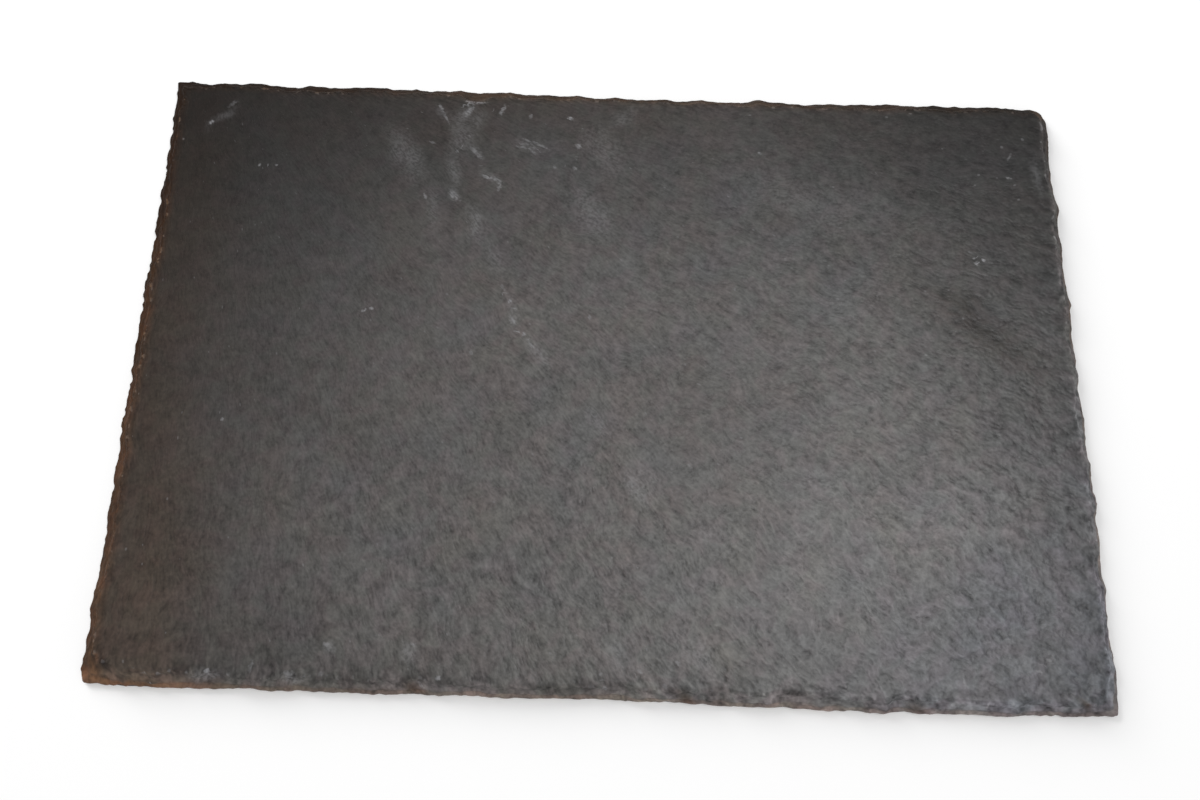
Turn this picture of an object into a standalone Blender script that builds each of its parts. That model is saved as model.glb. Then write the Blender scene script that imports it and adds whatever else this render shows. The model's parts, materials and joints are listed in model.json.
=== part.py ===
"""A slate slab: one plate of slate, split along its cleavage and trimmed by hand along all four edges.

The plate lies on its back, riven face up, in metres and +Z up. +X runs along its length and +Y across it.
The origin is under its middle, on the plane that it rests on.
"""

import math
import random

import bmesh
import bpy
from mathutils import Vector, noise
from mathutils.geometry import delaunay_2d_cdt

# Driving dimensions. Everything below this block is worked out in millimetres and scaled by MM at the end.
MM = 0.001
LENGTH = 300.0
WIDTH = 200.0
THICKNESS = 5.0

# The hand-cut outline. Each pair is a place along the side and how far the edge falls back there.
# Two pairs close together are a step where one chip ends and the next begins.
FRONT_EDGE = [
    (-147, 1.0), (-137, 0.5), (-125, 0.6), (-113, 0.8), (-99, 0.95), (-97, 0.6), (-79, 0.9), (-61, 0.65),
    (-54, 1.15), (-47, 0.9), (-35, 1.25), (-32, 0.9), (-11, 1.25), (6, 1.4), (9, 1.0), (21, 1.15),
    (43, 0.6), (49, 0.85), (65, 0.35), (74, 0.6), (81, 0.0), (85, 0.7), (91, 0.4), (107, 0.7),
    (118, 0.45), (121, 0.85), (136, 1.1), (147, 1.45),
]  # fmt: skip
RIGHT_EDGE = [
    (-97, 1.5), (-87, 0.9), (-82, 0.9), (-75, 1.6), (-71, 1.55), (-65, 1.2), (-63, 0.75), (-59, 1.6),
    (-49, 0.75), (-41, 1.0), (-37, 0.0), (-35, 0.1), (-33, 0.9), (-25, 0.5), (-21, 1.15), (-11, 0.6),
    (-5, 1.25), (3, 0.8), (14, 1.3), (21, 1.2), (24, 0.8), (27, 0.2), (31, 1.0), (39, 1.5),
    (49, 0.7), (53, 1.2), (57, 1.0), (61, 0.2), (65, 1.15), (69, 1.4), (79, 1.4), (92, 0.6),
]  # fmt: skip
BACK_EDGE = [
    (-147, 0.9), (-144.5, 0.7), (-142, 1.15), (-119, 0.35), (-117.5, 0.95), (-109, 1.5), (-104, 0.6),
    (-93, 0.95), (-87, 0.3), (-77, 0.35), (-75, 1.0), (-67, 0.5), (-65, 1.0), (-52, 0.55), (-44, 1.0),
    (-35, 0.65), (-31, 1.25), (-15, 1.45), (-12, 0.9), (-7, 1.5), (-1, 1.65), (1, 1.2), (9, 2.0),
    (19, 1.4), (21, 2.0), (31, 1.3), (34, 1.75), (47, 1.3), (49, 0.6), (51, 0.45), (63, 1.5),
    (83, 0.75), (87, 0.95), (95, 0.25), (101, 0.8), (107, 0.55), (111, 0.0), (115, 0.7), (135, 0.3),
    (144, 0.7),
]  # fmt: skip
LEFT_EDGE = [
    (-96.5, 0.65), (-95, 0.4), (-84, 0.7), (-77, 0.0), (-73, 0.7), (-69, 0.9), (-53, 1.05), (-47, 0.6),
    (-45, 0.9), (-36, 0.5), (-31, 0.85), (-22, 0.25), (-17, 0.6), (-9, 0.8), (-5, 0.45), (4, 0.7),
    (19, 0.4), (23, 0.05), (27, 0.7), (37, 1.05), (43, 0.75), (51, 0.5), (53, 0.8), (57, 0.45),
    (63, 0.9), (72, 0.4), (75, 0.75), (85, 0.35), (91, 0.7), (97, 0.2),
]  # fmt: skip

# The corners, as places on the outline from the side before to the side after. The back right one is knocked off.
FRONT_RIGHT_CORNER = [(148.35, -98.3)]
BACK_RIGHT_CORNER = [(149.2, 94.6), (148.4, 96.9), (146.5, 98.8)]
BACK_LEFT_CORNER = [(-149.1, 99.0), (-149.55, 98.6)]
FRONT_LEFT_CORNER = [(-149.0, -98.4), (-148.4, -99.0)]

# The trimmed edge, row by row from the underside up: height, how far the row falls back from the outline, how
# ragged it is, and the share and the width of each flake scar that reaches it. It climbs in steps, because
# the chisel breaks slate along its layers. The last row is the arris of the upper face, which follows the relief.
ROWS = [
    (0.0, 0.55, 0.20, 0.00, 0.50),
    (0.7, 0.00, 0.00, 0.00, 0.50),
    (1.6, 0.15, 0.10, 0.10, 0.60),
    (1.8, 0.85, 0.25, 0.30, 0.70),
    (2.9, 1.15, 0.25, 0.45, 0.80),
    (3.15, 1.95, 0.30, 0.70, 0.90),
    (THICKNESS, 2.90, 0.30, 1.00, 1.00),
]
STATION = 3.0
CORE_INSET = 14.0

# Flake scars between these sizes follow each other round the rim. Three at named places are larger.
FLAKE_HALF_WIDTH = (3.5, 7.5)
FLAKE_DEPTH = (0.5, 2.1)
LARGE_FLAKES = [
    # place on the outline, half width, depth
    ((-147, -97), 9.0, 3.6),
    ((147, -97), 8.0, 3.4),
    ((-46, 99), 5.5, 4.2),
]

# The riven face: a slow warp, and low ridges that fan out from a point beyond the back left corner and grow
# towards the front right.
FACE_SPACING = 7.2
FACE_INSET = 9.5
WARP_LENGTH = 95.0
WARP_HEIGHT = 0.22
FAN_CENTRE = (-215.0, 307.0)
RIDGE_LENGTH = 46.0
RIDGE_WIDTH = 15.0
RIDGE_HEIGHT = (0.06, 0.30)

# Shallow hollows in the underside where a thin layer has come away. Each is an outline and the slope of its rim.
HOLLOW_DEPTH = 0.35
HOLLOW_SLOPE = 2.2
HOLLOWS = [
    [(-128, 41), (-112, 30), (-92, 33), (-78, 45), (-60, 52), (-66, 66), (-90, 71), (-113, 64)],
    [(38, 22), (60, 14), (83, 20), (112, 16), (124, 30), (104, 44), (72, 47), (50, 38)],
    [(-84, -62), (-62, -74), (-36, -70), (-16, -56), (-30, -44), (-58, -40), (-77, -48)],
    [(70, -66), (92, -76), (118, -70), (126, -56), (106, -48), (82, -52)],
]

chips = random.Random(7)


def side_points(edge, along_x, outward):
    """The outline points of one side, in the order of its list."""
    half = (WIDTH if along_x else LENGTH) / 2
    points = []
    for place, back in edge:
        across = outward * (half - back)
        points.append((place, across) if along_x else (across, place))
    return points


def cut_outline():
    """The whole outline, anticlockwise from above, with the long stretches divided and slightly ragged."""
    corners_and_sides = (
        FRONT_LEFT_CORNER
        + side_points(FRONT_EDGE, True, -1)
        + FRONT_RIGHT_CORNER
        + side_points(RIGHT_EDGE, False, 1)
        + BACK_RIGHT_CORNER
        + side_points(BACK_EDGE, True, 1)[::-1]
        + BACK_LEFT_CORNER
        + side_points(LEFT_EDGE, False, -1)[::-1]
    )
    knots = [Vector(point) for point in corners_and_sides]
    outline = []
    for start, end in zip(knots, knots[1:] + knots[:1]):
        outline.append(start)
        pieces = math.ceil((end - start).length / STATION)
        for step in range(1, pieces):
            point = start.lerp(end, step / pieces)
            outline.append(fall_back(point, chips.uniform(0.0, 0.22)))
    return outline


def fall_back(point, distance):
    """The point moved inwards from the outline. Near a corner it moves along the mitre."""
    core = Vector((
        max(CORE_INSET - LENGTH / 2, min(LENGTH / 2 - CORE_INSET, point.x)),
        max(CORE_INSET - WIDTH / 2, min(WIDTH / 2 - CORE_INSET, point.y)),
    ))
    return point.lerp(core, distance / CORE_INSET)


def distances_round(outline):
    """How far each outline point is from the first one, round the rim, and the whole way round."""
    distances = [0.0]
    for start, end in zip(outline, outline[1:] + outline[:1]):
        distances.append(distances[-1] + (end - start).length)
    return distances[:-1], distances[-1]


def strike_flakes(outline, distances, girth):
    """The flake scars as (distance round the rim, half width, depth)."""
    flakes = []
    here = 0.0
    while here < girth:
        half_width = chips.uniform(*FLAKE_HALF_WIDTH)
        here += half_width
        flakes.append((here, half_width, chips.uniform(*FLAKE_DEPTH)))
        here += half_width * chips.uniform(0.55, 0.95)
    for place, half_width, depth in LARGE_FLAKES:
        nearest = min(range(len(outline)), key=lambda i: (outline[i] - Vector(place)).length)
        flakes.append((distances[nearest], half_width, depth))
    return flakes


def scar_depth(distance, flakes, girth, width_share):
    """How deep the deepest flake scar is at this distance round the rim."""
    deepest = 0.0
    for centre, half_width, depth in flakes:
        apart = abs((distance - centre + girth / 2) % girth - girth / 2) / (half_width * width_share)
        if apart < 1.0:
            deepest = max(deepest, depth * math.sqrt(1.0 - apart * apart))
    return deepest


def riven_height(x, y):
    """How high the riven face stands at a place, from a level that is set afterwards."""
    warp = noise.noise(Vector((x, y, 11.0)) / WARP_LENGTH) * WARP_HEIGHT
    away = Vector((x - FAN_CENTRE[0], y - FAN_CENTRE[1]))
    distance = away.length
    across = math.atan2(away.y, away.x) * 400.0
    ridges = noise.noise(Vector((distance / RIDGE_LENGTH, across / RIDGE_WIDTH, 3.0)))
    towards_front_right = 0.5 + 0.5 * (x / LENGTH - y / WIDTH)
    low, high = RIDGE_HEIGHT
    return warp + ridges * (low + (high - low) * towards_front_right**2)


def face_points():
    """Places spread over the inside of the riven face, in offset rows and slightly out of line."""
    half_x = LENGTH / 2 - FACE_INSET
    half_y = WIDTH / 2 - FACE_INSET
    columns = round(2 * half_x / FACE_SPACING)
    rows = round(2 * half_y / (FACE_SPACING * math.sqrt(0.75)))
    points = []
    for row in range(rows + 1):
        y = -half_y + 2 * half_y * row / rows
        shift = 0.25 if row % 2 else -0.25
        for column in range(columns + 1):
            x = -half_x + 2 * half_x * (column + shift) / columns
            stir = Vector((chips.uniform(-1, 1), chips.uniform(-1, 1))) * (FACE_SPACING * 0.18)
            points.append(Vector((x, y)) + stir)
    return points


def shrink(polygon, distance):
    """A polygon drawn in towards its middle by about the distance."""
    middle = sum((Vector(point) for point in polygon), Vector((0, 0))) / len(polygon)
    points = []
    for point in polygon:
        arm = Vector(point) - middle
        points.append(middle + arm * (1.0 - distance / arm.length))
    return points


def fill_face(bm, rim, inner_points, inner_loops, height_of, facing_up):
    """Triangles from a ring of vertices over loose points and closed loops inside it."""
    points = [Vector(vertex.co[:2]) for vertex in rim] + inner_points
    edges = [(i, (i + 1) % len(rim)) for i in range(len(rim))]
    for loop in inner_loops:
        first = len(points)
        points += loop
        edges += [(first + i, first + (i + 1) % len(loop)) for i in range(len(loop))]
    placed, _, faces, origins, _, _ = delaunay_2d_cdt(points, edges, [], 1, 1e-6)
    vertices = []
    for point, sources in zip(placed, origins):
        if sources and sources[0] < len(rim):
            vertices.append(rim[sources[0]])
        else:
            vertices.append(bm.verts.new((point.x, point.y, height_of(point))))
    for face in faces:
        corners = [vertices[i] for i in face]
        bm.faces.new(corners if facing_up else corners[::-1])


def build_rim(bm, outline, flakes, distances, girth, face_level):
    """The trimmed edge: one ring of vertices for each row, and the bands between them."""
    rings = []
    for number, (height, back, ragged, scar_share, scar_width) in enumerate(ROWS):
        ring = []
        for point, distance in zip(outline, distances):
            scar = scar_share * scar_depth(distance, flakes, girth, scar_width)
            rough = ragged * noise.noise(Vector((distance / 5.0, number * 9.0, 0.5)))
            place = fall_back(point, max(0.0, back + scar + rough))
            z = height + (0.12 * noise.noise(Vector((distance / 14.0, number * 5.0, 7.5))) if number else 0.0)
            if number == len(ROWS) - 1:
                z = face_level + riven_height(place.x, place.y) - 0.1
            ring.append(bm.verts.new((place.x, place.y, z)))
        rings.append(ring)
    for lower, upper in zip(rings, rings[1:]):
        for i in range(len(lower)):
            j = (i + 1) % len(lower)
            bm.faces.new((lower[i], lower[j], upper[j], upper[i]))
    return rings[0], rings[-1]


def build_slab():
    """The slab as one closed mesh."""
    outline = cut_outline()
    distances, girth = distances_round(outline)
    flakes = strike_flakes(outline, distances, girth)
    inside = face_points()
    face_level = THICKNESS - max(riven_height(point.x, point.y) for point in inside)

    bm = bmesh.new()
    lower_arris, upper_arris = build_rim(bm, outline, flakes, distances, girth, face_level)
    fill_face(bm, upper_arris, inside, [], lambda p: face_level + riven_height(p.x, p.y), True)

    floors = [shrink(hollow, HOLLOW_SLOPE) for hollow in HOLLOWS]
    lips = [[Vector(point) for point in hollow] for hollow in HOLLOWS]
    deep = {(round(point.x, 4), round(point.y, 4)) for floor in floors for point in floor}
    fill_face(
        bm, lower_arris, [], lips + floors,
        lambda p: HOLLOW_DEPTH if (round(p.x, 4), round(p.y, 4)) in deep else 0.0, False,
    )  # fmt: skip

    bmesh.ops.triangulate(bm, faces=bm.faces[:])
    bmesh.ops.scale(bm, vec=(MM, MM, MM), verts=bm.verts[:])
    mesh = bpy.data.meshes.new("slab")
    bm.to_mesh(mesh)
    bm.free()
    slab = bpy.data.objects.new("slab", mesh)
    bpy.context.collection.objects.link(slab)
    return slab


def slate():
    """Dark grey slate, slightly warm, with the dull sheen of a cleaved face."""
    material = bpy.data.materials.new("slate")
    material.use_nodes = True
    surface = material.node_tree.nodes["Principled BSDF"]
    surface.inputs["Base Color"].default_value = (0.100, 0.095, 0.092, 1.0)
    surface.inputs["Roughness"].default_value = 0.62
    surface.inputs["Metallic"].default_value = 0.0
    return material


for old in list(bpy.data.objects):
    bpy.data.objects.remove(old, do_unlink=True)

build_slab().data.materials.append(slate())
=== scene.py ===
"""The look of a slate slab: a riven plate of dark stone, chipped along its edges, on a white floor.

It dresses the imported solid. Places and sizes are in metres, except for those of the stone's own texture,
which are in millimetres and say so.
"""

import json
import math

import bmesh
import bpy
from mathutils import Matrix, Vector, kdtree, noise

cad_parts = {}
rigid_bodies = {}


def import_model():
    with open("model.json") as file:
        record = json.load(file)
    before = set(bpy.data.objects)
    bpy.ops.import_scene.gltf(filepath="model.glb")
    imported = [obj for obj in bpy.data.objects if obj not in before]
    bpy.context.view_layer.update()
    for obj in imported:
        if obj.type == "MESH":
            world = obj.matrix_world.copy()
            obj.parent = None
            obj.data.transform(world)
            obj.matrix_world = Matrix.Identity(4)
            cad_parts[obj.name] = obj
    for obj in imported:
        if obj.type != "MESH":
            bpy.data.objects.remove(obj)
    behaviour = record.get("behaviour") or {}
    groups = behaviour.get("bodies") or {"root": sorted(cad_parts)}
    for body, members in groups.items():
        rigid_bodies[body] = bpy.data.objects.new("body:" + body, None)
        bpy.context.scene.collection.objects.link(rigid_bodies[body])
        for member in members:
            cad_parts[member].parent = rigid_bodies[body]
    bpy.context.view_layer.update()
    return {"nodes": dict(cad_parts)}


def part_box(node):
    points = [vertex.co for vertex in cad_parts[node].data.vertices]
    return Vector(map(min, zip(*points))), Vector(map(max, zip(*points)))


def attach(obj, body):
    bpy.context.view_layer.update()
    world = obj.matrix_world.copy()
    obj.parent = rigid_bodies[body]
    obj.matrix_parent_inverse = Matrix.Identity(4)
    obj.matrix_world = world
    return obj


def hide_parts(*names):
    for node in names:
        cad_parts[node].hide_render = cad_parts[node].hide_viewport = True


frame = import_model()


# The slab
# One plate of slate, split along its cleavage and trimmed by striking flakes off it all the way round. The
# solid gives its outline, its chips and its thickness. This finer copy of it carries the feathered grain of
# the riven face, and the thin layers that stand out of the broken edge.

MM = 0.001
FACE_MIN_HEIGHT = 4.3 * MM
FLAT_ENOUGH = 0.97
UNDERSIDE_MAX_HEIGHT = 0.5 * MM
SAME_POINT = 0.001 * MM
LAY_ON_REACH = 0.6 * MM
RIM_CUTS = 3
FACE_EASING_ROUNDS = 14
RIM_EASING_ROUNDS = 2

bpy.ops.object.select_all(action="DESELECT")
slab_solid = frame["nodes"]["slab"]
slab = bpy.data.objects.new("riven_slab", slab_solid.data.copy())
bpy.context.scene.collection.objects.link(slab)
bpy.context.view_layer.objects.active = slab
slab.select_set(True)
slab_low, slab_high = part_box("slab")
length_mm = (slab_high.x - slab_low.x) / MM
width_mm = (slab_high.y - slab_low.y) / MM


def is_upper_face(face):
    """The riven face that shows."""
    return face.normal.z > FLAT_ENOUGH and face.calc_center_median().z > FACE_MIN_HEIGHT


def is_underside(face):
    """The face that the slab lies on, its shallow hollows included."""
    return face.normal.z < 0 and all(point.co.z < UNDERSIDE_MAX_HEIGHT for point in face.verts)


def is_trimmed_edge(face):
    """The broken edge between the two."""
    return not is_upper_face(face) and not is_underside(face)


def select_faces(test):
    """In edit mode, selects the slab's faces that pass the test, and nothing else."""
    bpy.ops.mesh.select_mode(type="FACE")
    bpy.ops.mesh.select_all(action="DESELECT")
    shape = bmesh.from_edit_mesh(slab.data)
    shape.normal_update()
    for face in shape.faces:
        face.select_set(test(face))
    bmesh.update_edit_mesh(slab.data)


def close_with_grid(cuts):
    """In edit mode, closes the slab's one opening with a grid of quads, after dividing its rim."""
    bpy.ops.mesh.select_mode(type="EDGE")
    bpy.ops.mesh.select_all(action="DESELECT")
    bpy.ops.mesh.select_non_manifold()
    if cuts:
        bpy.ops.mesh.subdivide(number_cuts=cuts)
    shape = bmesh.from_edit_mesh(slab.data)
    rim = [edge for edge in shape.edges if edge.is_boundary]
    if len(rim) % 2:
        # A grid needs an even number of edges round it, so one of them is divided.
        bpy.ops.mesh.select_all(action="DESELECT")
        rim[0].select_set(True)
        bmesh.update_edit_mesh(slab.data)
        bpy.ops.mesh.subdivide(number_cuts=1)
        bpy.ops.mesh.select_non_manifold()
        shape = bmesh.from_edit_mesh(slab.data)
    round_rim = [point for point in shape.verts if point.is_boundary]
    along_front = [p for p in round_rim if slab_low.y - p.co.y > abs(p.co.x) - slab_high.x]
    first = min(round_rim, key=lambda point: point.co.x + point.co.y)
    shape.select_history.clear()
    shape.select_history.add(first)
    bmesh.update_edit_mesh(slab.data)
    bpy.ops.mesh.fill_grid(span=len(along_front), use_interp_simple=True)


def group_points(name, test):
    """In edit mode, keeps the points of the faces that pass the test as a vertex group."""
    select_faces(test)
    bpy.ops.object.vertex_group_add()
    slab.vertex_groups.active.name = name
    bpy.ops.object.vertex_group_assign()


bpy.ops.object.mode_set(mode="EDIT")
bpy.ops.mesh.select_all(action="SELECT")
bpy.ops.mesh.remove_doubles(threshold=SAME_POINT)
select_faces(is_upper_face)
bpy.ops.mesh.delete(type="FACE")
close_with_grid(cuts=1)
select_faces(is_underside)
bpy.ops.mesh.delete(type="FACE")
close_with_grid(cuts=0)
bpy.ops.mesh.select_all(action="SELECT")
bpy.ops.mesh.normals_make_consistent(inside=False)
group_points("split_faces", lambda face: not is_trimmed_edge(face))
bpy.ops.object.mode_set(mode="OBJECT")

# The two grids are laid onto the solid's own faces.
lay_on = slab.modifiers.new("lay_on_the_solid", "SHRINKWRAP")
lay_on.target = slab_solid
lay_on.wrap_method = "PROJECT"
lay_on.use_project_z = True
lay_on.use_negative_direction = True
lay_on.use_positive_direction = True
lay_on.project_limit = LAY_ON_REACH
lay_on.vertex_group = "split_faces"
bpy.ops.object.modifier_apply(modifier=lay_on.name)

# The facets of the upper face are eased away, and the trimmed edge is divided finely and eased less.
bpy.ops.object.mode_set(mode="EDIT")
select_faces(is_upper_face)
bpy.ops.mesh.select_less()
bpy.ops.mesh.vertices_smooth(factor=0.5, repeat=FACE_EASING_ROUNDS, xaxis=False, yaxis=False)
select_faces(is_trimmed_edge)
bpy.ops.mesh.subdivide(number_cuts=RIM_CUTS)
bpy.ops.mesh.vertices_smooth(factor=0.5, repeat=RIM_EASING_ROUNDS)
group_points("riven_face", is_upper_face)
group_points("lying_face", is_underside)
group_points("trimmed_edge", is_trimmed_edge)
bpy.ops.object.mode_set(mode="OBJECT")

# Which part of the slab each point belongs to, and how far it is from the arris of the riven face. The
# material reads both, so they are kept on the points.
group_numbers = {group.name: group.index for group in slab.vertex_groups}
on_face = []
on_edge = []
arris_points = []
for point in slab.data.vertices:
    groups = {group.group for group in point.groups}
    on_face.append(group_numbers["riven_face"] in groups)
    on_edge.append(group_numbers["trimmed_edge"] in groups)
    if on_face[-1] and on_edge[-1]:
        arris_points.append(point)
arris = kdtree.KDTree(len(arris_points))
for point in arris_points:
    arris.insert(point.co, point.index)
arris.balance()
to_arris_mm = [arris.find(point.co)[2] / MM for point in slab.data.vertices]
for name, values in (("to_arris_mm", to_arris_mm), ("broken", on_edge)):
    kept = slab.data.attributes.new(name, "FLOAT", "POINT")
    kept.data.foreach_set("value", [float(value) for value in values])

# The grain of the riven face fans out from a point beyond the back left corner. It is fine there and coarse
# at the front right. Sizes are along and across the grain. Heights go from the back left to the front right.
FAN_CENTRE_MM = (-150.0, 135.0)
FAN_REACH_MM = 220.0
LUMP_MM = (4.6, 2.4)
LUMP_HEIGHTS_MM = (0.02, 0.11)
SWELL_MM = (22.0, 9.0)
SWELL_HEIGHTS_MM = (0.02, 0.14)
FEATHER_MM = (34.0, 15.0)
FEATHER_STEPS = 4.0
FEATHER_OCTAVES = 4
FEATHER_STEP_MM = 0.05
FEATHER_RISER = 0.18
ARRIS_REACH_MM = 3.4
ARRIS_FALL_MM = 0.22
ARRIS_RAGGED_MM = 2.8


def smooth_step(value):
    """0 to 1 with a soft start and end."""
    value = max(0.0, min(1.0, value))
    return value * value * (3.0 - 2.0 * value)


def between(ends, amount):
    """A number between two, by an amount from 0 to 1."""
    return ends[0] + (ends[1] - ends[0]) * amount


def riven_relief(x, y):
    """How far splitting left a place of the face above or below the solid's, in millimetres."""
    away_x = x - FAN_CENTRE_MM[0]
    away_y = y - FAN_CENTRE_MM[1]
    along = math.hypot(away_x, away_y)
    across = math.atan2(away_y, away_x) * FAN_REACH_MM
    rough = smooth_step(0.3 + 0.6 * (x / length_mm - y / width_mm))
    lumps = noise.noise(Vector((along / LUMP_MM[0], across / LUMP_MM[1], 0.0)))
    swells = noise.noise(Vector((along / SWELL_MM[0], across / SWELL_MM[1], 5.0)))
    feather_place = Vector((along / FEATHER_MM[0], across / FEATHER_MM[1], 9.0))
    level = noise.fractal(feather_place, 1.0, 2.0, FEATHER_OCTAVES) * FEATHER_STEPS
    step = math.floor(level)
    riser = smooth_step((level - step - 1.0 + FEATHER_RISER) / FEATHER_RISER)
    relief = lumps * between(LUMP_HEIGHTS_MM, rough) + swells * between(SWELL_HEIGHTS_MM, rough)
    return relief + (step + riser) * FEATHER_STEP_MM


def feathered_fall(x, y, distance):
    """How far the thin flakes that came off the arris lowered a place, in millimetres."""
    near = max(0.0, 1.0 - distance / ARRIS_REACH_MM)
    ragged = smooth_step(0.5 + 1.4 * noise.noise(Vector((x / ARRIS_RAGGED_MM, y / ARRIS_RAGGED_MM, 3.0))))
    return ARRIS_FALL_MM * near * near * (0.1 + 0.9 * ragged)


# The broken edge shows the layers of the stone. Each keeps its own ragged line, and small bites with sharp
# points between them run through several. They are deepest along the left.
LAYER_MM = 0.6
LAYER_TILT_MM = 0.7
LAYER_TILT_SIZE_MM = 30.0
LAYER_APART = 7.3
LAYER_SETBACKS_MM = (0.30, 0.25, 0.10)
LAYER_RAGGED_MM = (9.0, 3.2, 1.2)
BITE_MM = 3.4
BITE_HEIGHT_MM = 7.0
BITE_DEPTHS_MM = (1.1, 0.5)
BITES_DEEP_TO_MM = -138.0
BITES_FADE_MM = 14.0
CORE_INSET = 14 * MM
ARRIS_START_MM = 3.0
ARRIS_BLEND_MM = 1.8
SHARP_DEGREES = 40

for point in slab.data.vertices:
    x, y, z = point.co / MM
    if on_edge[point.index]:
        core_x = max(slab_low.x + CORE_INSET, min(slab_high.x - CORE_INSET, point.co.x))
        core_y = max(slab_low.y + CORE_INSET, min(slab_high.y - CORE_INSET, point.co.y))
        inward = Vector((core_x - point.co.x, core_y - point.co.y, 0.0)).normalized()
        tilt = LAYER_TILT_MM * noise.noise(Vector((x, y, 0.0)) / LAYER_TILT_SIZE_MM)
        layer = math.floor((z + tilt) / LAYER_MM)
        setback = 0.0
        for depth, ragged in zip(LAYER_SETBACKS_MM, LAYER_RAGGED_MM):
            setback += depth * noise.noise(Vector((x / ragged, y / ragged, layer * LAYER_APART)))
        bite_depth = between(BITE_DEPTHS_MM, smooth_step((x - BITES_DEEP_TO_MM) / BITES_FADE_MM))
        setback += bite_depth * abs(noise.noise(Vector((x / BITE_MM, y / BITE_MM, z / BITE_HEIGHT_MM))))
        clear_of_faces = smooth_step(z / 0.4) * smooth_step((5.0 - z) / 2.2)
        point.co += inward * (setback * clear_of_faces * MM)
    follows = 1.0 if on_face[point.index] else smooth_step((z - ARRIS_START_MM) / ARRIS_BLEND_MM)
    if follows and (on_face[point.index] or on_edge[point.index]):
        change = riven_relief(x, y) - feathered_fall(x, y, to_arris_mm[point.index])
        point.co.z += change * follows * MM

bpy.ops.object.mode_set(mode="EDIT")
bpy.ops.mesh.select_all(action="SELECT")
bpy.ops.mesh.quads_convert_to_tris(quad_method="BEAUTY", ngon_method="BEAUTY")
bpy.ops.object.mode_set(mode="OBJECT")
bpy.ops.object.shade_smooth_by_angle(angle=math.radians(SHARP_DEGREES))

# Cloudy bruises, which show pale: centre, reach along and across, turn in degrees, and how pale. They are
# kept on the points too. Places and sizes are in millimetres.
BRUISES = (
    (-31.0, 17.0, 9.0, 3.0, -75.0, 0.16),
    (-22.0, 4.0, 9.0, 3.2, -50.0, 0.22),
    (-3.4, -17.3, 9.0, 2.8, -59.0, 0.20),
    (9.0, -37.5, 8.6, 3.2, -49.0, 0.18),
    (-48.5, 88.5, 6.0, 3.0, 58.0, 0.22),
    (-44.7, 86.5, 5.0, 4.0, 50.0, 0.14),
    (-57.0, 88.0, 5.0, 2.2, -62.0, 0.16),
    (-27.5, 76.5, 7.0, 3.0, -25.0, 0.13),
    (-45.0, 73.0, 5.0, 2.5, -48.0, 0.14),
    (-39.0, 63.5, 6.0, 3.0, -30.0, 0.16),
    (-51.5, 57.5, 4.5, 3.0, -60.0, 0.30),
    (-44.0, 48.0, 10.0, 4.6, -70.0, 0.24),
    (-38.0, 36.0, 9.0, 4.5, -60.0, 0.13),
    (-50.5, 80.0, 12.0, 6.5, -80.0, 0.16),
    (-52.0, 67.0, 9.0, 3.6, -80.0, 0.20),
    (-68.0, 72.0, 16.0, 7.0, -60.0, 0.17),
    (-58.0, 52.0, 12.0, 4.0, -85.0, 0.12),
    (-6.5, 53.0, 16.0, 8.0, -60.0, 0.15),
    (-3.0, 76.0, 14.0, 9.0, -60.0, 0.14),
    (3.5, 89.0, 8.0, 4.5, 30.0, 0.14),
    (141.5, 72.0, 9.0, 2.4, -83.0, 0.16),
    (-131.0, 84.0, 9.0, 2.6, 42.0, 0.14),
    (62.0, 60.0, 30.0, 12.0, -22.0, 0.08),
    (10.5, -36.0, 14.0, 7.0, -55.0, 0.10),
    (-112.0, -94.5, 7.0, 2.6, 0.0, 0.26),
    (-88.0, -94.5, 5.0, 2.4, 0.0, 0.24),
    (-54.5, -87.5, 6.0, 4.0, -79.0, 0.20),
    (-78.5, -86.5, 3.4, 2.6, -50.0, 0.28),
    (3.8, -85.4, 6.0, 4.0, -31.0, 0.16),
    (28.7, -85.4, 6.0, 4.0, -55.0, 0.16),
    (25.0, -84.0, 16.0, 7.0, -50.0, 0.08),
)
MARK_WOBBLE_MM = 2.2
MARK_WOBBLE_SIZE_MM = 7.0


def from_mark(x, y, turn):
    """Distances along and across a mark that is turned by degrees."""
    cosine, sine = math.cos(math.radians(turn)), math.sin(math.radians(turn))
    return x * cosine + y * sine, y * cosine - x * sine


def bruising(x, y):
    """How pale the bruises make a place of the face, from 0 to 1."""
    x += MARK_WOBBLE_MM * noise.noise(Vector((x / MARK_WOBBLE_SIZE_MM, y / MARK_WOBBLE_SIZE_MM, 21.0)))
    y += MARK_WOBBLE_MM * noise.noise(Vector((x / MARK_WOBBLE_SIZE_MM, y / MARK_WOBBLE_SIZE_MM, 37.0)))
    most = 0.0
    for mark_x, mark_y, long, wide, turn, strength in BRUISES:
        lengthways, sideways = from_mark(x - mark_x, y - mark_y, turn)
        distance = math.hypot(lengthways / long, sideways / wide)
        if distance < 1.0:
            most += strength * smooth_step(1.0 - distance)
    return min(most, 1.0)


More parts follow.
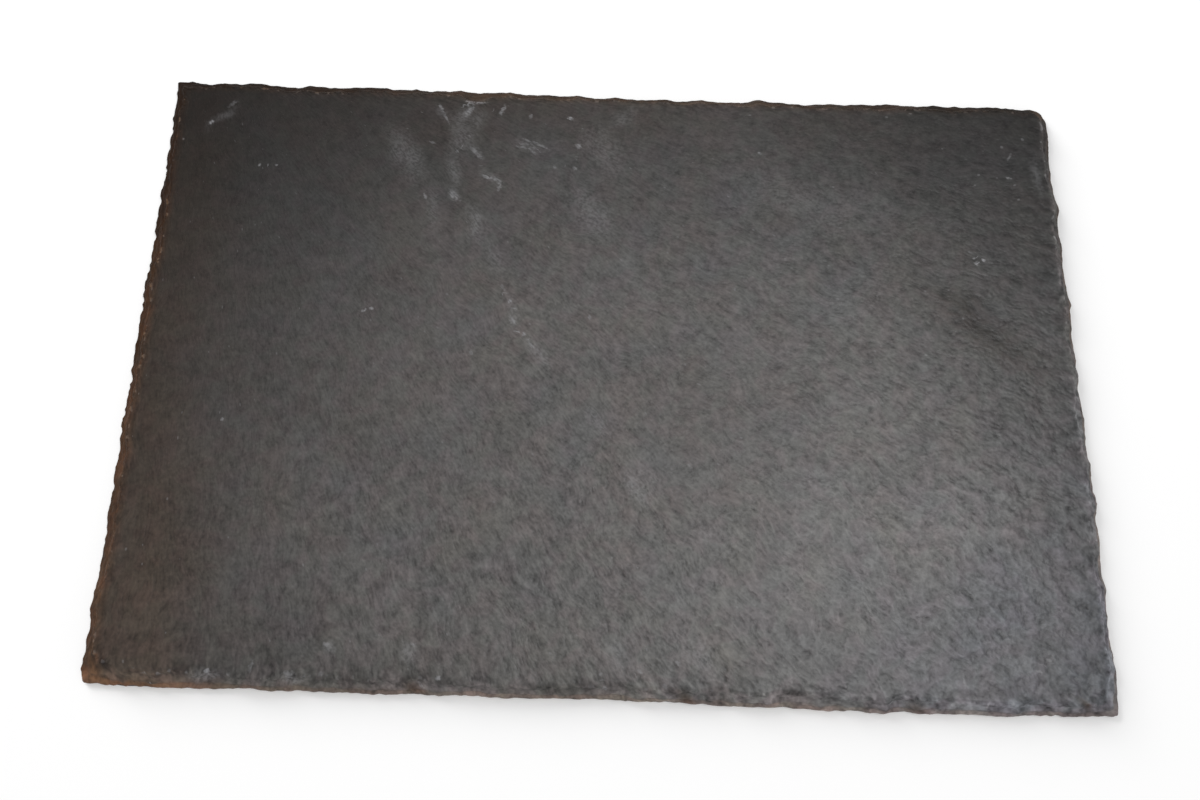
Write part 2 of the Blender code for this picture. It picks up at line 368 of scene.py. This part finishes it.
# Scratches and pale specks, listed in the same way. They are finer than the mesh, so each point keeps its
# distances along and across the nearest one, and how pale that one is. The material draws it from those.
SCRATCHES = (
    (-57.8, 90.0, 2.2, 0.6, -62.0, 0.50),
    (-56.0, 86.5, 2.4, 0.6, -63.0, 0.42),
    (-48.3, 93.0, 1.9, 0.7, -5.0, 0.70),
    (-44.5, 92.8, 2.6, 0.5, -5.0, 0.40),
    (-48.4, 89.1, 3.6, 1.2, 58.0, 0.42),
    (-37.1, 89.9, 2.5, 0.9, 66.0, 0.55),
    (-27.5, 88.0, 1.1, 0.7, -88.0, 0.35),
    (-14.2, 87.6, 1.2, 0.8, -17.0, 0.90),
    (-27.9, 78.8, 2.6, 0.5, -18.0, 0.42),
    (-23.6, 77.0, 2.8, 0.5, -25.0, 0.42),
    (-30.1, 76.2, 3.1, 0.5, -6.0, 0.30),
    (-26.2, 74.6, 2.1, 0.5, -46.0, 0.35),
    (-45.3, 73.6, 3.4, 0.7, -46.0, 0.42),
    (-41.2, 64.6, 1.9, 0.7, -25.0, 0.50),
    (-37.5, 63.8, 2.2, 0.7, -34.0, 0.35),
    (-37.0, 60.4, 1.0, 0.7, -56.0, 0.40),
    (-11.0, 77.2, 1.3, 0.9, -43.0, 0.60),
    (-12.2, 68.9, 1.1, 0.7, -31.0, 0.50),
    (-18.8, 69.0, 0.7, 0.7, 0.0, 0.35),
    (-61.0, 57.0, 1.3, 0.6, -76.0, 0.50),
    (-51.5, 57.5, 2.5, 1.3, -55.0, 0.36),
    (-60.2, 76.8, 1.4, 0.5, -14.0, 0.32),
    (-51.5, 73.7, 0.7, 0.7, 0.0, 0.35),
    (-31.5, 21.0, 0.8, 0.8, 0.0, 0.65),
    (-34.0, 25.6, 1.4, 0.6, -62.0, 0.40),
    (-30.3, 14.3, 2.0, 0.9, -65.0, 0.60),
    (-26.6, 10.1, 0.7, 0.7, 0.0, 0.80),
    (-24.2, 6.6, 1.7, 0.6, -56.0, 0.40),
    (-6.0, 16.4, 0.9, 0.6, -80.0, 0.50),
    (-42.6, 3.4, 1.0, 0.6, -87.0, 0.55),
    (-51.6, 22.5, 0.6, 0.6, 0.0, 0.40),
    (-75.2, 17.0, 0.8, 0.7, 0.0, 0.80),
    (-77.8, 16.0, 0.6, 0.5, 0.0, 0.60),
    (40.1, 27.5, 0.6, 0.6, 0.0, 0.60),
    (49.5, 76.8, 0.8, 0.5, -20.0, 0.55),
    (120.9, 40.7, 0.8, 0.7, -30.0, 0.90),
    (118.4, 39.5, 0.8, 0.6, -30.0, 0.80),
    (117.0, 43.2, 1.3, 0.4, -33.0, 0.35),
    (131.9, 70.7, 1.2, 0.5, -11.0, 0.45),
    (133.2, 78.8, 2.1, 0.5, 62.0, 0.30),
    (134.6, 62.9, 0.5, 0.5, 0.0, 0.40),
    (-134.5, 81.6, 0.9, 0.8, 40.0, 0.75),
    (-128.2, 89.1, 2.2, 0.8, 42.0, 0.30),
    (-116.5, 66.3, 0.6, 0.6, 0.0, 0.60),
    (-110.9, 66.5, 0.6, 0.6, 0.0, 0.55),
    (-143.0, 75.0, 0.6, 0.6, 0.0, 0.40),
    (-117.4, -20.7, 0.6, 0.6, 0.0, 0.50),
    (128.1, -83.5, 1.3, 0.5, -33.0, 0.70),
    (124.9, -86.7, 1.5, 0.5, -12.0, 0.45),
    (135.6, -74.5, 0.8, 0.5, -26.0, 0.35),
    (109.6, -96.5, 1.3, 0.5, 85.0, 0.45),
    (103.2, -90.4, 1.5, 0.5, -66.0, 0.40),
    (1.0, -95.2, 0.8, 0.8, 0.0, 0.60),
    (-0.4, -91.5, 0.7, 0.7, 0.0, 0.40),
    (18.0, -94.2, 0.8, 0.8, 0.0, 0.50),
    (21.6, -87.8, 1.0, 0.6, -40.0, 0.45),
    (10.9, -90.4, 1.0, 0.6, -40.0, 0.45),
    (-112.0, -94.2, 1.0, 0.9, 0.0, 0.80),
    (-99.8, -92.6, 1.8, 0.7, 80.0, 0.40),
    (-88.8, -94.3, 1.7, 1.2, 2.0, 0.45),
    (-79.8, -94.0, 0.9, 0.9, 0.0, 0.50),
    (-46.3, -94.0, 0.9, 0.8, 0.0, 0.80),
    (-51.4, -96.2, 1.8, 0.5, -44.0, 0.45),
    (-54.1, -85.1, 1.0, 0.7, -20.0, 0.40),
    (-79.2, -85.9, 1.0, 1.0, 0.0, 0.45),
)
SCRATCH_CLEAR_MM = 1.8
SCRATCHES_TRIED = 4
# The underside has none of these marks.
MARKS_STOP_MM = 0.6
scratch_middles = kdtree.KDTree(len(SCRATCHES))
for number, scratch in enumerate(SCRATCHES):
    scratch_middles.insert((scratch[0], scratch[1], 0.0), number)
scratch_middles.balance()


def nearest_scratch(x, y):
    """Distances along and across the nearest scratch, as shares of its reaches, and how pale it is."""
    least_clear = math.inf
    for _, number, _ in scratch_middles.find_n((x, y, 0.0), SCRATCHES_TRIED):
        mark_x, mark_y, long, wide, turn, strength = SCRATCHES[number]
        lengthways, sideways = from_mark(x - mark_x, y - mark_y, turn)
        clear = max(abs(lengthways) - long, abs(sideways) - wide)
        if clear < least_clear:
            least_clear = clear
            shown = strength if clear < SCRATCH_CLEAR_MM else 0.0
            nearest = (lengthways / long, sideways / wide, shown)
    return nearest


bruises = []
scratches = []
for point in slab.data.vertices:
    x, y, z = point.co / MM
    lengthways, sideways, strength = nearest_scratch(x, y)
    marked = z > MARKS_STOP_MM
    bruises.append(bruising(x, y) if marked else 0.0)
    scratches.extend((lengthways, sideways, strength if marked else 0.0))
slab.data.attributes.new("bruises", "FLOAT", "POINT").data.foreach_set("value", bruises)
slab.data.attributes.new("scratches", "FLOAT_VECTOR", "POINT").data.foreach_set("vector", scratches)

# The stone: dark grey with a feathered grain, paler at its bruises and scratches, and brown along the left
# and the back edge. Colours are linear, sizes and places in millimetres.
SLATE = (0.083, 0.0803, 0.0793)
PALE_SLATE = (0.215, 0.213, 0.222)
WARM = (1.22, 0.91, 0.70)
GREYISH = (0.98, 1.008, 0.985)
ROSY = (1.028, 0.98, 0.99)
COOL = (0.945, 1.0, 1.15)
BROWN = (1.38, 0.79, 0.37)
TAN = (1.05, 0.985, 0.92)
NOTCH_BROWN = (0.50, 0.38, 0.30)
GRAIN_MM = (1.6, 0.7)
STREAK_MM = (4.0, 1.7)
WOBBLE_MM = (16.0, 3.4)
# A dark stain near the right: centre, reach along and across, turn in degrees.
DARK_STAIN = (118.0, 17.0, 29.0, 10.0, -42.0)
# Broad areas that look lighter or darker in the photo, listed in the same way, with how much.
SHADES = (
    # The first is a painted sheen on the front right, added to the overhead panel's own.
    (84.0, -55.0, 86.0, 58.0, 0.0, 0.20),
    (32.0, -14.0, 48.0, 36.0, -20.0, -0.13),
    (-88.0, -45.0, 42.0, 30.0, 0.0, 0.13),
    (112.0, -43.0, 24.0, 18.0, 0.0, 0.13),
    (85.0, 62.0, 24.0, 18.0, 0.0, 0.13),
)
# Dark brown notches on the front edge, listed in the same way.
NOTCHES = (
    (-53.0, -97.0, 5.0, 3.4, -35.0, 0.8),
    (23.0, -96.5, 6.5, 3.4, -35.0, 0.9),
    (90.0, -97.0, 5.0, 2.6, -20.0, 0.7),
    (137.0, -96.0, 5.0, 1.8, -35.0, 1.0),
)

slate = bpy.data.materials.new("slate")
slate.use_nodes = True
nodes = slate.node_tree.nodes
links = slate.node_tree.links
surface = nodes["Principled BSDF"]


def feed(socket, value):
    """Gives an input a plain value, or links it to the output that makes its value."""
    if isinstance(value, bpy.types.NodeSocket):
        links.new(value, socket)
    else:
        socket.default_value = value


def calc(operation, first, second=0.0, third=0.0):
    """One sum on numbers."""
    node = nodes.new("ShaderNodeMath")
    node.operation = operation
    for socket, value in zip(node.inputs, (first, second, third)):
        feed(socket, value)
    return node.outputs[0]


def move(operation, first, second):
    """One sum on places or colours."""
    node = nodes.new("ShaderNodeVectorMath")
    node.operation = operation
    feed(node.inputs[0], first)
    feed(node.inputs["Scale"] if operation == "SCALE" else node.inputs[1], second)
    return node.outputs["Value"] if operation == "DISTANCE" else node.outputs[0]


def ease(value, low, high, at_low=0.0, at_high=1.0):
    """Turns a value softly from at_low to at_high as it goes from low to high."""
    node = nodes.new("ShaderNodeMapRange")
    node.interpolation_type = "SMOOTHSTEP"
    feed(node.inputs["Value"], value)
    feed(node.inputs["From Min"], low)
    feed(node.inputs["From Max"], high)
    feed(node.inputs["To Min"], at_low)
    feed(node.inputs["To Max"], at_high)
    return node.outputs[0]


def mottle(place, size, detail=2.0, roughness=0.5, output="Fac"):
    """Cloudy noise of a size, from 0 to 1 and mostly near a half."""
    node = nodes.new("ShaderNodeTexNoise")
    feed(node.inputs["Vector"], place)
    feed(node.inputs["Scale"], 1.0 / size)
    feed(node.inputs["Detail"], detail)
    feed(node.inputs["Roughness"], roughness)
    return node.outputs[output]


def spots(place, pitch, radius, share):
    """Round spots strewn over a plane: their usual distance apart, their radius, and the share that shows."""
    node = nodes.new("ShaderNodeTexVoronoi")
    node.voronoi_dimensions = "2D"
    feed(node.inputs["Vector"], place)
    feed(node.inputs["Scale"], 1.0 / pitch)
    chance = nodes.new("ShaderNodeSeparateColor")
    feed(chance.inputs[0], node.outputs["Color"])
    size = calc("MULTIPLY", radius / pitch, ease(chance.outputs[0], 1.0 - share, 1.0))
    return ease(calc("DIVIDE", node.outputs["Distance"], calc("ADD", size, 0.0001)), 0.4, 1.0, 1.0, 0.0)


def tint(amount, first, second):
    """A colour between two, by an amount from 0 to 1."""
    node = nodes.new("ShaderNodeMix")
    node.data_type = "RGBA"
    feed(node.inputs["Factor"], amount)
    for socket, value in ((node.inputs[6], first), (node.inputs[7], second)):
        feed(socket, (*value, 1.0) if isinstance(value, tuple) else value)
    return node.outputs[2]


def blend(amount, first, second):
    """A number between two, by an amount from 0 to 1."""
    return calc("MULTIPLY_ADD", calc("SUBTRACT", second, first), amount, first)


def oval(place, x, y, long, wide, turn):
    """A soft oval mark on the face: 1 at its centre, and 0 at its reach, turned by degrees."""
    node = nodes.new("ShaderNodeMapping")
    node.vector_type = "TEXTURE"
    feed(node.inputs["Vector"], place)
    node.inputs["Location"].default_value = (x, y, 0.0)
    node.inputs["Rotation"].default_value = (0.0, 0.0, math.radians(turn))
    # Marks go through the thickness of the plate, so height doesn't count.
    node.inputs["Scale"].default_value = (long, wide, 1000.0)
    return ease(move("DISTANCE", node.outputs[0], (0.0, 0.0, 0.0)), 0.0, 1.0, 1.0, 0.0)


def kept_number(name):
    """A number kept on the slab's own points."""
    node = nodes.new("ShaderNodeAttribute")
    node.attribute_name = name
    return node.outputs["Fac"]


place = move("SCALE", nodes.new("ShaderNodeTexCoord").outputs["Object"], 1.0 / MM)
where = nodes.new("ShaderNodeSeparateXYZ")
feed(where.inputs[0], place)
x_mm, y_mm, z_mm = where.outputs

# Distances along and across the grain, with a wobble that keeps its lines from being ruled.
wobble = mottle(place, WOBBLE_MM[0], 1.0, 0.5, "Color")
wobbled = move("ADD", place, move("SCALE", move("SUBTRACT", wobble, (0.5, 0.5, 0.5)), WOBBLE_MM[1] * 2.0))
from_fan = nodes.new("ShaderNodeSeparateXYZ")
feed(from_fan.inputs[0], move("SUBTRACT", wobbled, (*FAN_CENTRE_MM, 0.0)))
fan_x, fan_y, fan_z = from_fan.outputs
along = calc("SQRT", calc("MULTIPLY_ADD", fan_x, fan_x, calc("MULTIPLY", fan_y, fan_y)))
across = calc("MULTIPLY", calc("ARCTAN2", fan_y, fan_x), FAN_REACH_MM)


def with_grain(size):
    """Places measured along and across the grain in steps of a size."""
    node = nodes.new("ShaderNodeCombineXYZ")
    feed(node.inputs[0], calc("MULTIPLY", along, 1.0 / size[0]))
    feed(node.inputs[1], calc("MULTIPLY", across, 1.0 / size[1]))
    feed(node.inputs[2], calc("MULTIPLY", fan_z, 1.0 / size[1]))
    return node.outputs[0]


grain = mottle(with_grain(GRAIN_MM), 1.0, 1.0, 0.5)
streaks = mottle(with_grain(STREAK_MM), 1.0, 1.0, 0.45)
crumbling = mottle(place, 0.9, 1.0, 0.5, "Color")
crumbs_parts = nodes.new("ShaderNodeSeparateColor")
feed(crumbs_parts.inputs[0], crumbling)
crumbs = crumbs_parts.outputs[0]
blots = mottle(place, 4.2, 2.0, 0.6)
clouds = mottle(place, 26.0, 2.0, 0.55)
pits = spots(with_grain((1.6, 1.0)), 3.0, 0.8, 0.5)
glints = spots(with_grain((1.3, 0.8)), 5.0, 0.5, 0.14)
broken = kept_number("broken")
to_arris = kept_number("to_arris_mm")

# The face is roughest towards the front right.
rough = ease(calc("MULTIPLY_ADD", y_mm, -1.2, x_mm), -180.0, 230.0)

# These ramps darken the left, the back and the right: partly the stone's own colour and partly painted shade,
# where the light falls off. One view can't tell how much is which, so the ramps are a guess fitted to this
# light.
tone = ease(calc("MULTIPLY_ADD", y_mm, -0.25, x_mm), -185.0, -10.0, 0.24, 1.0)
tone = calc("MULTIPLY", tone, ease(y_mm, 5.0, 114.0, 1.0, 0.44))
tone = calc("MULTIPLY", tone, ease(calc("MULTIPLY_ADD", y_mm, 0.45, x_mm), 72.0, 186.0, 1.0, 0.38))
# These include the painted sheen on the front right.
for *area, change in SHADES:
    tone = calc("MULTIPLY", tone, calc("MULTIPLY_ADD", oval(place, *area), change, 1.0))
tone = calc("MULTIPLY", tone, ease(calc("SUBTRACT", x_mm, y_mm), 195.0, 240.0, 1.0, 0.84))
front_left = calc("MULTIPLY", ease(y_mm, -70.0, -95.0), ease(x_mm, 40.0, -20.0))
tone = calc("MULTIPLY", tone, calc("MULTIPLY_ADD", front_left, -0.10, 1.0))
patterns = 1.0
for pattern, swing, swing_when_rough in (
    (clouds, 0.45, 0.0),
    (blots, 0.55, 1.00),
    (streaks, 0.45, 0.95),
    (grain, 0.62, 0.35),
    (crumbs, 0.58, 0.20),
):
    amount = calc("MULTIPLY_ADD", rough, swing_when_rough, swing)
    patterns = calc("MULTIPLY_ADD", calc("SUBTRACT", pattern, 0.5), amount, patterns)
tone = calc("MULTIPLY", tone, patterns)
tone = calc("MULTIPLY", tone, calc("MULTIPLY_ADD", pits, calc("MULTIPLY_ADD", rough, -0.20, -0.06), 1.0))
chipped = ease(to_arris, 0.5, 4.5)
low_streak = calc("MULTIPLY_ADD", chipped, 0.12, 0.88)
high_streak = calc("MULTIPLY_ADD", chipped, -0.12, 1.12)
tone = calc("MULTIPLY", tone, ease(streaks, 0.40, 0.60, low_streak, high_streak))
stain = calc("MULTIPLY", oval(wobbled, *DARK_STAIN), ease(streaks, 0.3, 0.6, 0.5, 1.0))
tone = calc("MULTIPLY", tone, calc("MULTIPLY_ADD", stain, -0.62, 1.0))
stone = move("SCALE", SLATE, tone)

hue = nodes.new("ShaderNodeSeparateColor")
feed(hue.inputs[0], wobble)
warmth = calc("MAXIMUM", ease(x_mm, -150.0, -108.0, 1.0, 0.16), ease(y_mm, 55.0, 98.0, 0.0, 0.5))
warmth = calc("MULTIPLY", warmth, ease(x_mm, -110.0, 60.0, 1.0, 0.5))
warmth = calc("MULTIPLY_ADD", ease(y_mm, -5.0, -70.0), ease(x_mm, -85.0, -140.0, 0.0, 0.4), warmth)
warmth = calc("MULTIPLY_ADD", calc("SUBTRACT", hue.outputs[0], 0.5), 0.38, warmth)
warmth = calc("MULTIPLY_ADD", stain, 0.40, warmth)
stone = move("MULTIPLY", stone, tint(warmth, (1.0, 1.0, 1.0), WARM))
rosiness = ease(mottle(wobbled, 6.0, 1.0, 0.5), 0.42, 0.60)
stone = move("MULTIPLY", stone, tint(rosiness, GREYISH, ROSY))
coolness = ease(calc("SUBTRACT", x_mm, y_mm), 100.0, 235.0, 0.08, 1.0)
coolness = calc("MULTIPLY_ADD", calc("SUBTRACT", hue.outputs[1], 0.5), 0.9, coolness)
stone = move("MULTIPLY", stone, tint(coolness, (1.0, 1.0, 1.0), COOL))

# Bruises are broken up by the grain. Scratches and specks have a crumbled outline of their own.
pale = calc("MULTIPLY", kept_number("bruises"), ease(calc("ADD", grain, crumbs), 0.80, 1.20, 0.55, 1.5))
scratch = nodes.new("ShaderNodeAttribute")
scratch.attribute_name = "scratches"
scratch_parts = nodes.new("ShaderNodeSeparateXYZ")
feed(scratch_parts.inputs[0], scratch.outputs["Vector"])
in_plane = move("MULTIPLY", scratch.outputs["Vector"], (1.0, 1.0, 0.0))
crumbled = move("MULTIPLY", move("SUBTRACT", crumbling, (0.5, 0.5, 0.5)), (1.6, 1.6, 0.0))
from_scratch = move("DISTANCE", in_plane, crumbled)
scratch_pale = calc("MULTIPLY", scratch_parts.outputs[2], ease(grain, 0.35, 0.60, 0.5, 1.05))
pale = calc("MULTIPLY_ADD", ease(from_scratch, 0.3, 1.15, 1.0, 0.0), scratch_pale, pale)
pale = calc("MULTIPLY_ADD", glints, 0.26, pale)
worn = calc("MULTIPLY", ease(to_arris, 0.1, 1.0, 1.0, 0.0), ease(mottle(place, 2.4, 2.0), 0.58, 0.68))
pale = calc("MULTIPLY_ADD", worn, ease(calc("SUBTRACT", x_mm, y_mm), -200.0, 100.0, 0.30, 0.20), pale)
stone = tint(calc("MINIMUM", pale, 1.0), stone, PALE_SLATE)

# The broken edge is brown on the left and at the back, where the brown creeps onto the face, and darker
# there, partly with painted shade. At the front and on the right it is made paler than the face with painted
# light, on the edge and on a band of the face beside the arris, and browned only near its foot.
at_left = ease(x_mm, -141.0, -145.0)
at_back = ease(y_mm, 92.0, 96.0)
at_right = ease(x_mm, 142.0, 146.0)
at_front = ease(y_mm, -93.0, -96.5)
# Painted shade on the left and at the back; painted light, up to threefold, at the right and the front, whose
# edges turn away from the lamps.
edge_tone_and_painted_light = blend(at_left, ease(x_mm, -110.0, -30.0, 0.62, 0.88), ease(y_mm, 30.0, -60.0, 0.82, 1.18))
edge_tone_and_painted_light = blend(at_right, edge_tone_and_painted_light, ease(y_mm, -20.0, 70.0, 2.3, 3.0))
edge_tone_and_painted_light = blend(at_front, edge_tone_and_painted_light, ease(x_mm, -140.0, -60.0, 2.15, 1.75))
# The front and right sides, whose edges get painted light below.
painted_lit_side = calc("MAXIMUM", at_right, at_front)
# Painted light on the lower part of the front and right edges.
painted_light_low_on_edge = calc("MULTIPLY", ease(z_mm, 0.8, 2.6, 0.36, 0.0), painted_lit_side)
edge_tone_and_painted_light = calc("MULTIPLY", edge_tone_and_painted_light, calc("ADD", painted_light_low_on_edge, ease(hue.outputs[2], 0.40, 0.60, 0.88, 1.14)))
# Painted light on the steep upper part of the right edge, and painted shade on that of the front at the left.
to_the_right = ease(x_mm, 5.0, 60.0)
painted_light_and_shade_by_side = calc("MULTIPLY", painted_lit_side, blend(to_the_right, -0.22, 0.15))
painted_light_and_shade_high_on_edge = calc("MULTIPLY", ease(z_mm, 2.6, 3.8), painted_light_and_shade_by_side)
edge_tone_and_painted_light = calc("MULTIPLY", edge_tone_and_painted_light, calc("ADD", painted_light_and_shade_high_on_edge, 1.0))
# Painted light on a band of the face beside the arris at the front and right, where the face falls away from
# the lamps.
painted_light_beside_arris = calc("MULTIPLY", ease(to_arris, 0.0, 3.0, 1.0, 0.0), blend(to_the_right, 0.12, 0.60))
rim = calc("MAXIMUM", broken, calc("MULTIPLY", painted_lit_side, painted_light_beside_arris))
stone = move("SCALE", stone, blend(rim, 1.0, edge_tone_and_painted_light))
tanned = calc("MULTIPLY", calc("MULTIPLY", broken, painted_lit_side), ease(z_mm, 1.4, 3.2, 1.0, 0.1))
stone = move("MULTIPLY", stone, tint(tanned, (1.0, 1.0, 1.0), TAN))
outer = calc("MULTIPLY", ease(z_mm, 1.4, 3.4, 1.0, 0.0), broken)
creep = calc("MAXIMUM", broken, ease(to_arris, 0.4, 3.6, 0.65, 0.0))
creep = calc("MULTIPLY", creep, calc("MAXIMUM", at_left, at_back))
brown = calc("MULTIPLY", creep, ease(calc("MULTIPLY_ADD", y_mm, -0.45, x_mm), -175.0, -105.0, 1.0, 0.6))
brown = calc("MAXIMUM", brown, calc("MULTIPLY", outer, ease(x_mm, -132.0, -88.0, 0.50, 0.15)))
foot = calc("MULTIPLY", ease(z_mm, 0.3, 1.2, 0.5, 0.0), broken)
brown = calc("MULTIPLY", calc("MAXIMUM", brown, foot), ease(blots, 0.3, 0.55, 0.7, 1.0))
stone = move("MULTIPLY", stone, tint(brown, (1.0, 1.0, 1.0), BROWN))
notched = 0.0
for *area, strength in NOTCHES:
    notched = calc("MAXIMUM", notched, calc("MULTIPLY", oval(wobbled, *area), strength))
stone = move("MULTIPLY", stone, tint(notched, (1.0, 1.0, 1.0), NOTCH_BROWN))

feed(surface.inputs["Base Color"], stone)
sheen = ease(blots, 0.3, 0.7, 0.42, 0.52)
feed(surface.inputs["Roughness"], calc("MULTIPLY_ADD", calc("SUBTRACT", 0.95, sheen), broken, sheen))

# Fine relief, in millimetres.
raised = ease(calc("MULTIPLY_ADD", y_mm, -1.2, x_mm), -20.0, 240.0)
relief = calc("MULTIPLY", streaks, calc("MULTIPLY_ADD", raised, 0.32, 0.08))
relief = calc("MULTIPLY_ADD", blots, calc("MULTIPLY_ADD", raised, 0.30, 0.15), relief)
relief = calc("MULTIPLY_ADD", grain, calc("MULTIPLY_ADD", rough, 0.06, 0.03), relief)
relief = calc("MULTIPLY_ADD", crumbs, 0.05, relief)
bumps = nodes.new("ShaderNodeBump")
bumps.inputs["Distance"].default_value = MM
feed(bumps.inputs["Height"], relief)
feed(surface.inputs["Normal"], bumps.outputs[0])
slab.data.materials.clear()
slab.data.materials.append(slate)

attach(slab, "root")
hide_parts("slab")


# The floor
# A plain white studio floor. It isn't part of the object. It fades into the white around it, so that no
# horizon shows. It is open beneath most of the slab and clear from below, so that the underside can be seen.

FLOOR_SIZE = 6.0
OPENING = (0.142, 0.092)
FLOOR_WHITE = 0.89
FADE_START = 0.8
FADE_END = 1.8

bpy.ops.mesh.primitive_plane_add(size=FLOOR_SIZE, location=(0.0, 0.0, 0.0))
floor = bpy.context.object
floor.name = "studio_floor"
bpy.ops.object.mode_set(mode="EDIT")
for axis, reach in enumerate(OPENING):
    for offset in (-reach, reach):
        cut_place = [0.0, 0.0, 0.0]
        cut_place[axis] = offset
        cut_direction = [0.0, 0.0, 0.0]
        cut_direction[axis] = 1.0
        bpy.ops.mesh.select_all(action="SELECT")
        bpy.ops.mesh.bisect(plane_co=cut_place, plane_no=cut_direction)
bpy.ops.mesh.select_mode(type="FACE")
bpy.ops.mesh.select_all(action="DESELECT")
shape = bmesh.from_edit_mesh(floor.data)
min(shape.faces, key=lambda face: face.calc_center_median().length).select_set(True)
bmesh.update_edit_mesh(floor.data)
bpy.ops.mesh.delete(type="FACE")
bpy.ops.object.mode_set(mode="OBJECT")
white = bpy.data.materials.new("white_floor")
white.use_nodes = True
paint = white.node_tree.nodes["Principled BSDF"]
paint.inputs["Base Color"].default_value = (FLOOR_WHITE, FLOOR_WHITE, FLOOR_WHITE, 1.0)
paint.inputs["Roughness"].default_value = 1.0
paint.inputs["Specular IOR Level"].default_value = 0.0
white_nodes = white.node_tree.nodes
white_links = white.node_tree.links
side = white_nodes.new("ShaderNodeNewGeometry")
distance = white_nodes.new("ShaderNodeVectorMath")
distance.operation = "LENGTH"
white_links.new(white_nodes.new("ShaderNodeTexCoord").outputs["Object"], distance.inputs[0])
fade = white_nodes.new("ShaderNodeMapRange")
fade.interpolation_type = "SMOOTHSTEP"
fade.inputs["From Min"].default_value = FADE_START
fade.inputs["From Max"].default_value = FADE_END
white_links.new(distance.outputs["Value"], fade.inputs["Value"])
unseen = white_nodes.new("ShaderNodeMath")
unseen.operation = "MAXIMUM"
white_links.new(side.outputs["Backfacing"], unseen.inputs[0])
white_links.new(fade.outputs[0], unseen.inputs[1])
clear = white_nodes.new("ShaderNodeBsdfTransparent")
either = white_nodes.new("ShaderNodeMixShader")
white_links.new(unseen.outputs[0], either.inputs[0])
white_links.new(paint.outputs[0], either.inputs[1])
white_links.new(clear.outputs[0], either.inputs[2])
white_links.new(either.outputs[0], white_nodes["Material Output"].inputs["Surface"])
floor.data.materials.append(white)


# The light
# Plain soft studio light: a pale surround that is dimmer in reflections, a panel at the back left, whose
# shadow falls to the front and right, and one overhead at the right, whose sheen lies on the front right.

SURROUND = 0.47
SURROUND_IN_REFLECTIONS = 0.22
SURROUND_SEEN = 1.0
BACK_PANEL = {"place": Vector((-1.5, 1.55, 0.93)), "size": 1.2, "power": 52.0}
OVERHEAD_PANEL = {"place": Vector((0.66, 0.0, 1.8)), "size": 0.8, "power": 13.5}

world = bpy.data.worlds.new("studio")
bpy.context.scene.world = world
world.use_nodes = True
world_nodes = world.node_tree.nodes
world_links = world.node_tree.links
kind_of_ray = world_nodes.new("ShaderNodeLightPath")
brightness = SURROUND
SURROUND_BY_RAY = (("Is Glossy Ray", SURROUND_IN_REFLECTIONS), ("Is Camera Ray", SURROUND_SEEN))
for seen_by, strength in SURROUND_BY_RAY:
    pick = world_nodes.new("ShaderNodeMix")
    world_links.new(kind_of_ray.outputs[seen_by], pick.inputs[0])
    if isinstance(brightness, float):
        pick.inputs[2].default_value = brightness
    else:
        world_links.new(brightness, pick.inputs[2])
    pick.inputs[3].default_value = strength
    brightness = pick.outputs[0]
world_links.new(brightness, world_nodes["Background"].inputs["Strength"])
world_nodes["Background"].inputs["Color"].default_value = (1.0, 1.0, 1.0, 1.0)

for name, panel in (("back_panel", BACK_PANEL), ("overhead_panel", OVERHEAD_PANEL)):
    facing = panel["place"].to_track_quat("Z", "Y").to_euler()
    bpy.ops.object.light_add(type="AREA", location=panel["place"], rotation=facing)
    light = bpy.context.object
    light.name = name
    light.data.size = panel["size"]
    light.data.energy = panel["power"]
    light.visible_glossy = panel is OVERHEAD_PANEL

bpy.context.scene.view_settings.view_transform = "Standard"


# The camera
# It stands where the slab's corners in the photo put it, for the slab's assumed size and a 27 mm lens: about
# 27 cm above the slab and a little in front of its middle. The picture is cropped slightly to one side.

CAMERA_PLACE = (-0.01547, -0.08530, 0.27200)
CAMERA_TURN_DEGREES = (15.52, -0.45, 1.88)
LENS_MM = 27.0
CROP_SHIFT = 0.0369
CLIP_START = 0.01

camera_turn = [math.radians(angle) for angle in CAMERA_TURN_DEGREES]
bpy.ops.object.camera_add(location=CAMERA_PLACE, rotation=camera_turn)
camera = bpy.context.object
camera.data.lens = LENS_MM
camera.data.shift_x = CROP_SHIFT
camera.data.clip_start = CLIP_START
bpy.context.scene.camera = camera
